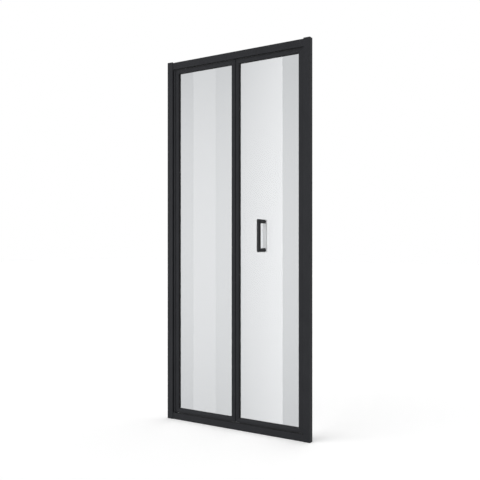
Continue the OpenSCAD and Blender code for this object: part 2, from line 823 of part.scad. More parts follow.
module carriage_block() color(nylon) difference() {
    slab_y(-carriage_half, carriage_half) translate([pin_x, 0])
        round_box([-carriage_l / 2, carriage_z0], [carriage_l / 2, carriage_z1], 5);
    for (s = [-1, 1]) rod_y(pin_x + s * wheelbase / 2, axle_z, -panel_t, panel_t, axle_r + run_clear);
    rod_z(pin_x, 0, carriage_z0 - 1, carriage_z1 - 3, pin_r * 0.75 + seat);
}

module carriage_pin() color(steel) {
    rod_z(pin_x, 0, panel_top - pin_grip + 0.2, carriage_z0 - seat, pin_r);
    rod_z(pin_x, 0, carriage_z0 - seat - eps, carriage_z1 - 3.2, pin_r * 0.75);
}

wheel_in = slot_half + 0.2;
axle_half = wheel_in + wheel_w + 0.8;

module axle(s) color(steel)
    rod_y(pin_x + s * wheelbase / 2, axle_z, -axle_half, axle_half, axle_r);

module axle_front() axle(1);
module axle_rear() axle(-1);

// A wheel with a crowned tread, a web and a hub
module wheel() rotate_extrude($fn = 64) {
    crown = 0.5;
    translate([axle_r + 0.02, 0]) square([2, wheel_w]);
    translate([axle_r + 1, wheel_w * 0.3]) square([wheel_r - axle_r - 2.5, wheel_w * 0.4]);
    polygon([
        [wheel_r - 2.4, 0], [wheel_r - crown, 0], [wheel_r, wheel_w * 0.3],
        [wheel_r, wheel_w * 0.7], [wheel_r - crown, wheel_w], [wheel_r - 2.4, wheel_w]
    ]);
}

module wheel_pair(s) color(nylon) for (side = [-1, 1])
    translate([pin_x + s * wheelbase / 2, side * wheel_in, axle_z]) rotate([-side * 90, 0, 0]) wheel();

module wheels_front() wheel_pair(1);
module wheels_rear() wheel_pair(-1);

// Guide shoe that slides in the sill, under the lips of its deck

shoe_half = track_half - 0.5;
shoe_z0 = sill_base + 6;
shoe_z1 = chamber_top - 0.5;

module guide_shoe() color(nylon) difference() {
    translate([0, 0, shoe_z0]) linear_extrude(shoe_z1 - shoe_z0)
        round_box([pin_x - shoe_l / 2, -shoe_half], [pin_x + shoe_l / 2, shoe_half], 4);
    rod_z(pin_x, 0, shoe_z0 - 1, shoe_z1 - 3, pin_r + 2);
    rod_z(pin_x, 0, shoe_z0 - 1, shoe_z1 + 1, pin_r + 0.02);
}

module guide_pin() color(steel) {
    rod_z(pin_x, 0, shoe_z0 + 1, panel_z + pin_grip - 1.2, pin_r);
    rod_z(pin_x, 0, shoe_z0 + 1, shoe_z1 - 3 - seat, pin_r + 1.6);
}

// Handle, bolted through the glass to a flat plate on the inside

bar_r = bar_d / 2;
bar_y = -glass_t / 2 - bar_reach;
post_end = -glass_t / 2 - pad_t - seat;

// The part of a bar on the near side of the mitre in the handle's corner
module mitred(side) intersection() {
    children();
    translate([0, bar_y, post_pitch / 2]) rotate([-45, 0, 0])
        translate([-bar_d, -post_pitch, side > 0 ? 0 : -post_pitch])
        cube([2 * bar_d, 2 * post_pitch, post_pitch]);
}

// Half of the handle: the bar and a post, which meet in a mitre
module handle_half() {
    mitred(-1) rod_z(0, bar_y, -eps, post_pitch / 2 + bar_d, bar_r);
    mitred(1) rod_y(0, post_pitch / 2, bar_y - bar_d, post_end, bar_r);
}

module handle_bar() color(black) difference() {
    translate([handle_x, 0, handle_z]) {
        handle_half();
        mirror([0, 0, 1]) handle_half();
    }
    for (z = post_z) rod_y(handle_x, z, post_end - 16, 0, bolt_r);
}

module handle_pads() color(dark) for (z = post_z) difference() {
    rod_y(handle_x, z, post_end + seat, -glass_t / 2 - seat / 2, bar_r);
    rod_y(handle_x, z, post_end - 1, 0, bolt_r + 0.3);
}

module handle_sleeves() color(nylon) for (z = post_z) difference() {
    rod_y(handle_x, z, -glass_t / 2 + seat, glass_t / 2 - seat, glass_hole_r - 0.1);
    rod_y(handle_x, z, -glass_t, glass_t, bolt_r + 0.2);
}

plate_y = glass_t / 2 + pad_t + seat;
// The plate reaches a little past both bolts
plate_over = 10;

module inner_outline() round_box(
    [handle_x - plate_w / 2, post_z[0] - plate_over], [handle_x + plate_w / 2, post_z[1] + plate_over], 3);

module plate_holes(r) for (z = post_z) rod_y(handle_x, z, 0, panel_t, r);

module inner_pad() color([0.72, 0.73, 0.74]) difference() {
    slab_y(glass_t / 2 + seat / 2, plate_y - seat / 2) inner_outline();
    plate_holes(bolt_r + 0.3);
}

module inner_plate() color(black) difference() {
    slab_y(plate_y, plate_y + plate_t) inner_outline();
    plate_holes(bolt_r + 0.2);
}

bolt_head_h = 3;
module handle_bolts() color(steel) for (z = post_z) {
    y1 = plate_y + plate_t + seat / 2;
    rod_y(handle_x, z, post_end - 14, y1 + eps, bolt_r - seat);
    translate([handle_x, y1, z]) rotate([-90, 0, 0]) difference() {
        cylinder(r1 = 5.6, r2 = 4.6, h = bolt_head_h);
        translate([0, 0, 1]) cylinder(r = 2, h = bolt_head_h, $fn = 6);
    }
}

wall_channel_left();
wall_channel_right();
jamb_left();
jamb_right();
head_rail();
sill_rail();
channel_caps();
frame_screws();
channel_screws();
screw_covers();
cover_strip_left();
cover_strip_right();
jamb_seal();
strike_magnet();
pivot_block_top();
pivot_block_bottom();
pivot_block_screws();
track_stop();
pivot_stile();
fold_stile_a();
top_rail_a();
bottom_rail_a();
glass_a();
gaskets_a();
pivot_corner_top();
pivot_corner_bottom();
fold_corners_a();
corner_screws_a();
pivot_pin_top();
pivot_pin_bottom();
fold_pin();
fold_seal();
drip_seal_a();
lead_stile();
fold_stile_b();
top_rail_b();
bottom_rail_b();
glass_b();
gaskets_b();
lead_corner_top();
lead_corner_bottom();
fold_corners_b();
corner_screws_b();
lead_magnet();
drip_seal_b();
handle_bar();
handle_pads();
handle_sleeves();
inner_plate();
inner_pad();
handle_bolts();
carriage_block();
carriage_pin();
axle_front();
axle_rear();
wheels_front();
wheels_rear();
guide_shoe();
guide_pin();
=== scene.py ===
"""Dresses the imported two-panel folding shower door: finishes, seals, glass, handle, studio and camera."""

import logging
import math
from collections.abc import Iterable, Sequence
from dataclasses import dataclass
from enum import Enum

import bmesh
import bpy
from mathutils import Matrix, Vector


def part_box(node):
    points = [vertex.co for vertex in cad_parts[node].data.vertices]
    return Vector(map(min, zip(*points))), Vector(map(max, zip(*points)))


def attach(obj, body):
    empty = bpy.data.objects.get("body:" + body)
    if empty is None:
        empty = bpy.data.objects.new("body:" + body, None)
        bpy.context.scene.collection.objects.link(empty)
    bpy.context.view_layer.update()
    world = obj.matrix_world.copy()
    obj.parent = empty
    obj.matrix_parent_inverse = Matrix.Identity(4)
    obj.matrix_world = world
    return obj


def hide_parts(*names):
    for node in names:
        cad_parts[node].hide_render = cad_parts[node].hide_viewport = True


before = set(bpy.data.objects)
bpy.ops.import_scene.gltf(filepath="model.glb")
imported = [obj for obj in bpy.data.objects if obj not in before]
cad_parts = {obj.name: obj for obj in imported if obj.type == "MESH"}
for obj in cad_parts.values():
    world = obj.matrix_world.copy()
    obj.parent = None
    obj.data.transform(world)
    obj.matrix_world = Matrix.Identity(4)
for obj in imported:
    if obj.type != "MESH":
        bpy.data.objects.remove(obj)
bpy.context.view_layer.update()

log = logging.getLogger("folding_door")

MM = 0.001
UP = Vector((0, 0, 1))

# Corners closer than this are one corner, in a shape made here and in a CAD node's loose triangles
WELD = 0.001 * MM
NODE_WELD = 0.002 * MM
# Angles between two faces, in degrees. Under the first they become one flat face, under the second they
# are shaded smooth, and over the third their edge is rounded
FLAT_UNDER = 0.5
SMOOTH_UNDER = 32.0
SHARP_OVER = 30.0
# Steps across a rounded edge, and the value that bevel takes for a round profile
EDGE_STEPS = 2
ROUND = 0.5
# How strongly a wide face pulls the normals at its corners. This is the most that the modifier takes
AREA_WEIGHT = 100


class Body(Enum):
    """The moving groups of the door, as the frame names them."""

    FRAME = "frame"
    LEFT = "left_panel"
    RIGHT = "right_panel"
    CARRIAGE = "carriage"
    WHEELS_FRONT = "wheels_front"
    WHEELS_REAR = "wheels_rear"
    GUIDE = "guide"


class Slot(Enum):
    """The record's material slots that the pieces take their finish from."""

    PROFILE = "frame_black"
    HANDLE = "handle_black"
    GLASS = "glass"
    RUBBER = "seal_rubber"
    NYLON = "black_nylon"
    MAGNET = "magnet_strip"
    PAD = "grey_pad"
    STEEL = "steel"


def linear(colour: str) -> tuple[float, float, float, float]:
    """Turns a colour as it is seen on a screen into the linear values that shaders take.

    The numbers are those of the sRGB curve, which is straight near black and a power above that.

    Args:
        colour: sRGB hex value, such as "#343536".

    Returns:
        Linear red, green and blue, with full opacity.
    """
    parts = [int(colour[i:i + 2], 16) / 255 for i in (1, 3, 5)]
    red, green, blue = (p / 12.92 if p <= 0.04045 else ((p + 0.055) / 1.055) ** 2.4 for p in parts)
    return red, green, blue, 1.0


def per_metre(size_mm: float) -> float:
    """Turns the size of a grain in millimetres into a texture's scale, the number of grains in a metre."""
    return 1 / (size_mm * MM)


def add_node(tree: bpy.types.NodeTree, kind: str, inputs: dict[str | int, object] | None = None,
             stops: Iterable[tuple[float, str]] = (), **settings: object) -> bpy.types.Node:
    """Adds a node with its settings, values and links.

    Args:
        tree: The node tree that it goes into.
        kind: Type name of the node, such as "ShaderNodeBump".
        inputs: Socket name or number to a value, or to the output socket that feeds it.
        stops: Place and sRGB hex colour of each of a colour ramp's two stops.
        settings: Properties of the node itself.

    Returns:
        The new node.
    """
    node = tree.nodes.new(kind)
    for name, value in settings.items():
        setattr(node, name, value)
    for number, (place, colour) in enumerate(stops):
        node.color_ramp.elements[number].position = place
        node.color_ramp.elements[number].color = linear(colour)
    for name, value in (inputs or {}).items():
        if isinstance(value, bpy.types.NodeSocket):
            tree.links.new(value, node.inputs[name])
        else:
            node.inputs[name].default_value = value
    return node


def blank_material(name: str) -> tuple[bpy.types.Material, bpy.types.NodeTree, bpy.types.Node]:
    """Makes an empty node material.

    Args:
        name: Name of the finish.

    Returns:
        The material, its node tree and its output node.
    """
    material = bpy.data.materials.new(name)
    material.use_nodes = True
    material.node_tree.nodes.clear()
    return material, material.node_tree, add_node(material.node_tree, "ShaderNodeOutputMaterial")


@dataclass(frozen=True)
class Finish:
    """What all finishes share: a name, and a shader that reads its patterns in the row frame."""

    name: str

    def material(self) -> bpy.types.Material:
        """Builds the material.

        Returns:
            The finish as a node material.
        """
        material, tree, output = blank_material(self.name)
        place = add_node(tree, "ShaderNodeTexCoord").outputs["Object"]
        shader = self.shader(tree, place)
        tree.links.new(shader.outputs["BSDF"], output.inputs["Surface"])
        return material

    def shader(self, tree: bpy.types.NodeTree, place: bpy.types.NodeSocket) -> bpy.types.Node:
        """Builds the shader in a tree, from the socket that gives a point's place, as each finish does."""
        raise NotImplementedError(self.name)


@dataclass(frozen=True)
class PowderCoat(Finish):
    """Polyester powder coat, sprayed and baked on aluminium.

    The melt leaves a faint orange peel, its matting agent a soft, wide gloss, and the spray a hardly
    seen cloudiness where the film is thinner. The real grit of the matting agent is a tenth of a
    millimetre or less, too fine for the render, so it is drawn coarser.
    """

    name: str = "matt_black_powder_coat"
    colour: str = "#222326"
    colour_thin: str = "#252629"
    roughness: float = 0.6
    uneven_gloss: float = 0.04
    specular: float = 0.12
    cloud_mm: float = 90.0
    cloud_detail: float = 3.0
    cloud_range: tuple[float, float] = (0.35, 0.65)
    peel_mm: float = 2.5
    peel_detail: float = 2.0
    peel_height_mm: float = 0.012
    grit_mm: float = 0.35
    grit_height_mm: float = 0.003

    def shader(self, tree: bpy.types.NodeTree, place: bpy.types.NodeSocket) -> bpy.types.Node:
        """Builds the coat's shader.

        Args:
            tree: The material's node tree.
            place: The socket that gives the place of a point.

        Returns:
            The shader's node.
        """
        cloud = add_node(tree, "ShaderNodeTexNoise",
                         {"Vector": place, "Scale": per_metre(self.cloud_mm), "Detail": self.cloud_detail})
        peel = add_node(tree, "ShaderNodeTexNoise",
                        {"Vector": place, "Scale": per_metre(self.peel_mm), "Detail": self.peel_detail})
        grit = add_node(tree, "ShaderNodeTexVoronoi", {"Vector": place, "Scale": per_metre(self.grit_mm)})
        shade = add_node(tree, "ShaderNodeValToRGB", {"Fac": cloud.outputs["Fac"]},
                         stops=zip(self.cloud_range, (self.colour, self.colour_thin)))
        gloss = add_node(tree, "ShaderNodeMapRange",
                         {"Value": peel.outputs["Fac"], "To Min": self.roughness - self.uneven_gloss,
                          "To Max": self.roughness + self.uneven_gloss})
        fine = add_node(tree, "ShaderNodeBump",
                        {"Height": grit.outputs["Distance"], "Distance": self.grit_height_mm * MM})
        bump = add_node(tree, "ShaderNodeBump",
                        {"Height": peel.outputs["Fac"], "Distance": self.peel_height_mm * MM,
                         "Normal": fine.outputs["Normal"]})
        return add_node(tree, "ShaderNodeBsdfPrincipled",
                        {"Base Color": shade.outputs["Color"], "Roughness": gloss.outputs["Result"],
                         "Normal": bump.outputs["Normal"], "Specular IOR Level": self.specular})


@dataclass(frozen=True)
class FloatGlass(Finish):
    """Clear toughened float glass.

    The tempering rollers leave a very slight, long wave in its reflections, and the panes' grey, a
    little cool, is what iron and the two faces take from the light that passes.
    """

    name: str = "clear_toughened_glass"
    tint: str = "#C6C8CA"
    ior: float = 1.52
    wave_mm: float = 260.0
    wave_detail: float = 0.0
    wave_height_mm: float = 0.02

    def shader(self, tree: bpy.types.NodeTree, place: bpy.types.NodeSocket) -> bpy.types.Node:
        """Builds the glass's shader.

        Args:
            tree: The material's node tree.
            place: The socket that gives the place of a point.

        Returns:
            The shader's node.
        """
        wave = add_node(tree, "ShaderNodeTexNoise",
                        {"Vector": place, "Scale": per_metre(self.wave_mm), "Detail": self.wave_detail})
        bump = add_node(tree, "ShaderNodeBump",
                        {"Height": wave.outputs["Fac"], "Distance": self.wave_height_mm * MM})
        return add_node(tree, "ShaderNodeBsdfPrincipled",
                        {"Base Color": linear(self.tint), "Roughness": 0.0, "IOR": self.ior,
                         "Transmission Weight": 1.0, "Normal": bump.outputs["Normal"]})


@dataclass(frozen=True)
class Rubber(Finish):
    """Extruded rubber or soft vinyl: a fine grain from the die, and a bloom that clouds its colour."""

    name: str = "black_epdm_seal"
    colour: str = "#1B1B1C"
    bloom: str = "#242425"
    roughness: float = 0.72
    specular: float = 0.35
    bloom_mm: float = 25.0
    bloom_detail: float = 4.0
    bloom_range: tuple[float, float] = (0.35, 0.7)
    grain_mm: float = 1.2
    grain_detail: float = 3.0
    grain_height_mm: float = 0.02

    def shader(self, tree: bpy.types.NodeTree, place: bpy.types.NodeSocket) -> bpy.types.Node:
        """Builds the rubber's shader.

        Args:
            tree: The material's node tree.
            place: The socket that gives the place of a point.

        Returns:
            The shader's node.
        """
        cloud = add_node(tree, "ShaderNodeTexNoise",
                         {"Vector": place, "Scale": per_metre(self.bloom_mm), "Detail": self.bloom_detail})
        grain = add_node(tree, "ShaderNodeTexNoise",
                         {"Vector": place, "Scale": per_metre(self.grain_mm), "Detail": self.grain_detail})
        shade = add_node(tree, "ShaderNodeValToRGB", {"Fac": cloud.outputs["Fac"]},
                         stops=zip(self.bloom_range, (self.colour, self.bloom)))
        bump = add_node(tree, "ShaderNodeBump",
                        {"Height": grain.outputs["Fac"], "Distance": self.grain_height_mm * MM})
        return add_node(tree, "ShaderNodeBsdfPrincipled",
                        {"Base Color": shade.outputs["Color"], "Roughness": self.roughness,
                         "Specular IOR Level": self.specular, "Normal": bump.outputs["Normal"]})


@dataclass(frozen=True)
class MouldedNylon(Finish):
    """Injection-moulded nylon: a dull, finely pitted skin from the spark-eroded tool, with flow clouds."""

    name: str = "moulded_black_nylon"
    colour: str = "#222324"
    flow: str = "#2A2B2C"
    roughness: float = 0.45
    flow_mm: float = 12.0
    flow_detail: float = 3.0
    flow_twist: float = 0.6
    flow_range: tuple[float, float] = (0.4, 0.7)
    spark_mm: float = 0.5
    spark_height_mm: float = 0.015

    def shader(self, tree: bpy.types.NodeTree, place: bpy.types.NodeSocket) -> bpy.types.Node:
        """Builds the nylon's shader.

        Args:
            tree: The material's node tree.
            place: The socket that gives the place of a point.

        Returns:
            The shader's node.
        """
        flow = add_node(tree, "ShaderNodeTexNoise",
                        {"Vector": place, "Scale": per_metre(self.flow_mm), "Detail": self.flow_detail,
                         "Distortion": self.flow_twist})
        spark = add_node(tree, "ShaderNodeTexVoronoi", {"Vector": place, "Scale": per_metre(self.spark_mm)})
        shade = add_node(tree, "ShaderNodeValToRGB", {"Fac": flow.outputs["Fac"]},
                         stops=zip(self.flow_range, (self.colour, self.flow)))
        bump = add_node(tree, "ShaderNodeBump",
                        {"Height": spark.outputs["Distance"], "Distance": self.spark_height_mm * MM})
        return add_node(tree, "ShaderNodeBsdfPrincipled",
                        {"Base Color": shade.outputs["Color"], "Roughness": self.roughness,
                         "Normal": bump.outputs["Normal"]})


@dataclass(frozen=True)
class Metal(Finish):
    """Bare metal: turned or drawn steel catches the light in fine lines, a casting only in its grain.

    Real turning lines lie about 0.05 mm apart, too fine for the render, so they are drawn coarser.
    """

    name: str = "stainless_steel"
    colour: str = "#B9BBBD"
    shade: str = "#A3A5A8"
    roughness: float = 0.28
    bright: float = 0.05
    dull: float = 0.08
    line_mm: float = 0.25
    line_detail: float = 2.0
    line_range: tuple[float, float] = (0.3, 0.7)
    stretch: tuple[float, float, float] = (0.1, 0.1, 1.0)
    height_mm: float = 0.004

    def shader(self, tree: bpy.types.NodeTree, place: bpy.types.NodeSocket) -> bpy.types.Node:
        """Builds the metal's shader.

        Args:
            tree: The material's node tree.
            place: The socket that gives the place of a point.

        Returns:
            The shader's node.
        """
        along = add_node(tree, "ShaderNodeMapping", {"Vector": place, "Scale": self.stretch})
        line = add_node(tree, "ShaderNodeTexNoise",
                        {"Vector": along.outputs["Vector"], "Scale": per_metre(self.line_mm),
                         "Detail": self.line_detail})
        shade = add_node(tree, "ShaderNodeValToRGB", {"Fac": line.outputs["Fac"]},
                         stops=zip(self.line_range, (self.shade, self.colour)))
        gloss = add_node(tree, "ShaderNodeMapRange",
                         {"Value": line.outputs["Fac"], "To Min": self.roughness - self.bright,
                          "To Max": self.roughness + self.dull})
        bump = add_node(tree, "ShaderNodeBump",
                        {"Height": line.outputs["Fac"], "Distance": self.height_mm * MM})
        return add_node(tree, "ShaderNodeBsdfPrincipled",
                        {"Base Color": shade.outputs["Color"], "Metallic": 1.0,
                         "Roughness": gloss.outputs["Result"], "Normal": bump.outputs["Normal"]})


class Finishes:
    """Every finish of the door, built once."""

    def __init__(self) -> None:
        """Builds the materials."""
        self.coat = PowderCoat().material()
        # A thinner, smoother film on the round bar, a little paler in its black and glossier
        self.bar_coat = PowderCoat(name="satin_black_bar_coat", colour="#28292B", colour_thin="#2B2C2E",
                                   roughness=0.45, specular=0.15, peel_height_mm=0.006).material()
        self.glass = FloatGlass().material()
        self.rubber = Rubber().material()
        # Vinyl filled with magnet powder, smoother than rubber and slightly satin
        self.magnet = Rubber(name="magnet_strip_vinyl", colour="#202022", bloom="#29292B", roughness=0.5,
                             grain_height_mm=0.008).material()
        # Milky silicone sheet with an even, soft skin
        self.pad = Rubber(name="pale_grey_silicone_pad", colour="#D4D5D6", bloom="#DADBDC", roughness=0.6,
                          grain_height_mm=0.006).material()
        self.nylon = MouldedNylon().material()
        self.steel = Metal().material()
        # The sand-like grain of a die casting, greyer and duller than steel
        self.cast = Metal(name="cast_aluminium", colour="#A9ABAD", shade="#8F9194", roughness=0.5,
                          line_mm=0.9, stretch=(1.0, 1.0, 1.0), height_mm=0.03).material()


def new_object(bm: bmesh.types.BMesh, name: str, material: bpy.types.Material) -> bpy.types.Object:
    """Turns a bmesh in the row frame into an object of the scene.

    Args:
        bm: The finished shape, which is freed.
        name: Name of the object and its mesh.
        material: Its only material.

    Returns:
        The new object, at the origin.
    """
    mesh = bpy.data.meshes.new(name)
    bm.to_mesh(mesh)
    bm.free()
    mesh.materials.append(material)
    new = bpy.data.objects.new(name, mesh)
    bpy.context.scene.collection.objects.link(new)
    return new


def finish_mesh(bm: bmesh.types.BMesh, name: str, material: bpy.types.Material,
                body: Body) -> bpy.types.Object:
    """Turns a bmesh in the row frame into a smoothly shaded piece that rides on a body.

    Args:
        bm: The finished shape, which is freed.
        name: Name of the piece.
        material: Its finish.
        body: The moving group that it belongs to.

    Returns:
        The new piece, at the origin.
    """
    for edge in bm.edges:
        edge.smooth = len(edge.link_faces) == 2 and edge.calc_face_angle() < math.radians(SMOOTH_UNDER)
    for face in bm.faces:
        face.smooth = True
    piece = new_object(bm, name, material)
    log.info("%s: %d faces in %s, on %s", name, len(piece.data.polygons), material.name, body.value)
    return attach(piece, body.value)


def softened(node: str, radius: float) -> bmesh.types.BMesh:
    """Copies a CAD node and rounds its sharp edges, as a die, a mould or a file does.

    Args:
        node: Name of the CAD node.
        radius: Radius of the edges.

    Returns:
        The rounded copy.
    """
    bm = bmesh.new()
    bm.from_mesh(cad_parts[node].data)
    bmesh.ops.remove_doubles(bm, verts=bm.verts, dist=NODE_WELD)
    bmesh.ops.dissolve_degenerate(bm, edges=bm.edges, dist=NODE_WELD)
    bmesh.ops.dissolve_limit(bm, angle_limit=math.radians(FLAT_UNDER), verts=bm.verts, edges=bm.edges)
    sharp = [edge for edge in bm.edges
             if len(edge.link_faces) == 2 and edge.calc_face_angle() > math.radians(SHARP_OVER)]
    bmesh.ops.bevel(bm, geom=sharp, offset=radius, offset_type="OFFSET", segments=EDGE_STEPS,
                    profile=ROUND, affect="EDGES", clamp_overlap=True, material=-1, loop_slide=True)
    return bm


def ring_from_profile(x: tuple[float, float], z: tuple[float, float],
                      profile: Sequence[tuple[float, float]], y: float, facing: int) -> bmesh.types.BMesh:
    """Runs a closed profile round a rectangle in the XZ plane, with mitred corners.

    Args:
        x: Left and right side of the rectangle.
        z: Lower and upper side.
        profile: Inset from the rectangle and height off the plane, for each corner of the profile.
        y: The plane that the heights start from.
        facing: 1 where the heights go along +Y, -1 along -Y.

    Returns:
        The ring.
    """
    bm = bmesh.new()
    middle = Vector(((x[0] + x[1]) / 2, y, (z[0] + z[1]) / 2))
    inset, height = profile[0]
    verts = [bm.verts.new((cx, y + facing * height, cz)) for cx, cz in
             ((x[0] + inset, z[0] + inset), (x[1] - inset, z[0] + inset),
              (x[1] - inset, z[1] - inset), (x[0] + inset, z[1] - inset))]
    edges = [bm.edges.new((verts[i], verts[(i + 1) % 4])) for i in range(4)]
    for (old_inset, old_height), (inset, height) in zip(profile, [*profile[1:], profile[0]]):
        grown = bmesh.ops.extrude_edge_only(bm, edges=edges)["geom"]
        edges = [g for g in grown if isinstance(g, bmesh.types.BMEdge)]
        for vert in [g for g in grown if isinstance(g, bmesh.types.BMVert)]:
            inward = Vector((math.copysign(1, middle.x - vert.co.x), 0,
                             math.copysign(1, middle.z - vert.co.z)))
            step = inward * (inset - old_inset) + Vector((0, facing * (height - old_height), 0))
            bmesh.ops.translate(bm, verts=[vert], vec=step)
    bmesh.ops.remove_doubles(bm, verts=bm.verts, dist=WELD)
    bmesh.ops.recalc_face_normals(bm, faces=bm.faces)
    return bm


def extruded(outline: Iterable[Sequence[float]], along: Sequence[float]) -> bmesh.types.BMesh:
    """Extrudes a flat outline.

    Args:
        outline: Corners of the outline, in the row frame.
        along: The extrusion as a vector.

    Returns:
        The closed bar.
    """
    bm = bmesh.new()
    face = bm.faces.new([bm.verts.new(p) for p in outline])
    grown = bmesh.ops.extrude_face_region(bm, geom=[face], use_keep_orig=True)
    bmesh.ops.translate(bm, verts=[v for v in grown["geom"] if isinstance(v, bmesh.types.BMVert)],
                        vec=Vector(along))
    bmesh.ops.recalc_face_normals(bm, faces=bm.faces)
    return bm


def turned(profile: Iterable[tuple[float, float]], centre: Vector, axis: Vector,
           steps: int) -> bmesh.types.BMesh:
    """Turns a profile about an axis, as a lathe does.

    Args:
        profile: Place along the axis and radius, for each corner of the profile.
        centre: A point on the axis.
        axis: Direction of the axis.
        steps: Steps round the axis.

    Returns:
        The turned shape, closed where its profile ends on the axis.
    """
    bm = bmesh.new()
    axis = axis.normalized()
    out = axis.orthogonal().normalized()
    verts = [bm.verts.new(centre + axis * a + out * r) for a, r in profile]
    edges = [bm.edges.new(pair) for pair in zip(verts, verts[1:])]
    bmesh.ops.spin(bm, geom=verts + edges, cent=centre, axis=axis, angle=math.tau, steps=steps,
                   use_merge=True)
    bmesh.ops.remove_doubles(bm, verts=bm.verts, dist=WELD)
    bmesh.ops.recalc_face_normals(bm, faces=bm.faces)
    return bm


def joined(parts: Iterable[bmesh.types.BMesh]) -> bmesh.types.BMesh:
    """Puts several shapes into one mesh.

    Args:
        parts: The shapes, which are freed.

    Returns:
        The whole.
    """
    whole = bmesh.new()
    for part in parts:
        mesh = bpy.data.meshes.new("part")
        part.to_mesh(mesh)
        part.free()
        whole.from_mesh(mesh)
        bpy.data.meshes.remove(mesh)
    return whole


def keep_flats(piece: bpy.types.Object) -> None:
    """Shades the wide faces beside rounded edges as flat, by weighting the normals with the faces' areas.

    Args:
        piece: The piece with the rounded edges.
    """
    weighted = piece.modifiers.new("flat faces", "WEIGHTED_NORMAL")
    weighted.mode = "FACE_AREA"
    weighted.weight = AREA_WEIGHT
    weighted.keep_sharp = True


def dress(node: str, material: bpy.types.Material) -> None:
    """Gives a CAD node, which stays as it is, its finish.

    Args:
        node: Name of the CAD node.
        material: The finish.
    """
    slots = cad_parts[node].material_slots
    for slot in slots:
        slot.material = material
    if not slots:
        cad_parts[node].data.materials.append(material)
    log.info("%s: as built, in %s", node, material.name)


def soften_node(node: str, name: str, material: bpy.types.Material, body: Body,
                radius: float) -> bpy.types.Object:
    """Shows a rounded copy in place of a CAD node.

    Args:
        node: The CAD node.
        name: Name of the piece that stands for it.
        material: Its finish.
        body: The moving group that it belongs to.
        radius: Radius of its edges.

    Returns:
        The piece.
    """
    piece = finish_mesh(softened(node, radius), name, material, body)
    keep_flats(piece)
    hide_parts(node)
    return piece


@dataclass
class OuterFrame:
    """Wall channels, jambs, cover strips, head rail, sill and what is fixed to them."""

    finishes: Finishes
    body: Body = Body.FRAME
    die_radius: float = 0.35 * MM
    mould_radius: float = 0.4 * MM
    seal_setback: float = 1.0 * MM
    seal_foot: float = 3.2 * MM
    seal_base: float = 0.8 * MM
    seal_wall: float = 0.9 * MM
    seal_clearance: float = 0.4 * MM
    # Shares of the lip's wall: how thick it is at its root, and where its leaning tip starts and ends
    lip_root_share: float = 2.0
    lip_tip_shares: tuple[float, float] = (0.2, 1.2)
    profiles: tuple[str, ...] = ("wall_channel_left", "wall_channel_right", "jamb_left", "jamb_right",
                                 "cover_strip_left", "cover_strip_right", "head_rail", "sill_rail")
    mouldings: tuple[str, ...] = ("channel_caps", "screw_covers", "pivot_block_top", "pivot_block_bottom",
                                  "track_stop")
    screws: tuple[str, ...] = ("frame_screws", "channel_screws", "pivot_block_screws")

    def build(self) -> None:
        """Dresses the profiles, mouldings, screws, seals and magnet."""
        for node in self.profiles:
            soften_node(node, f"{node}_profile", self.finishes.coat, self.body, self.die_radius)
        for node in self.mouldings:
            soften_node(node, f"{node}_moulding", self.finishes.nylon, self.body, self.mould_radius)
        for node in self.screws:
            dress(node, self.finishes.steel)
        soften_node("jamb_seal", "jamb_seal_strip", self.finishes.rubber, self.body, self.mould_radius)
        soften_node("strike_magnet", "strike_magnet_strip", self.finishes.magnet, self.body,
                    self.mould_radius)
        self.hang_head_seal()
        log.info("outer frame: %d profiles, %d mouldings", len(self.profiles), len(self.mouldings))

    def hang_head_seal(self) -> bpy.types.Object:
        """Hangs a lip seal under the head rail, which closes the slit over the panels.

        Returns:
            The seal. Its lip ends just over the panels, so that they swing freely under it.
        """
        left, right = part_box("pivot_stile"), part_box("lead_stile")
        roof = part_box("jamb_left")[1].z
        tip = left[1].z + self.seal_clearance
        start, front = left[0].x, left[0].y + self.seal_setback
        back, base = front + self.seal_foot, roof - self.seal_base
        root = front + self.lip_root_share * self.seal_wall
        tip_front, tip_back = (front + share * self.seal_wall for share in self.lip_tip_shares)
        outline = [(front, roof), (back, roof), (back, base), (root, base), (tip_back, tip),
                   (tip_front, tip), (front, base)]
        bm = extruded([(start, y, z) for y, z in outline], (right[1].x - start, 0, 0))
        piece = finish_mesh(bm, "head_seal_strip", self.finishes.rubber, self.body)
        return piece


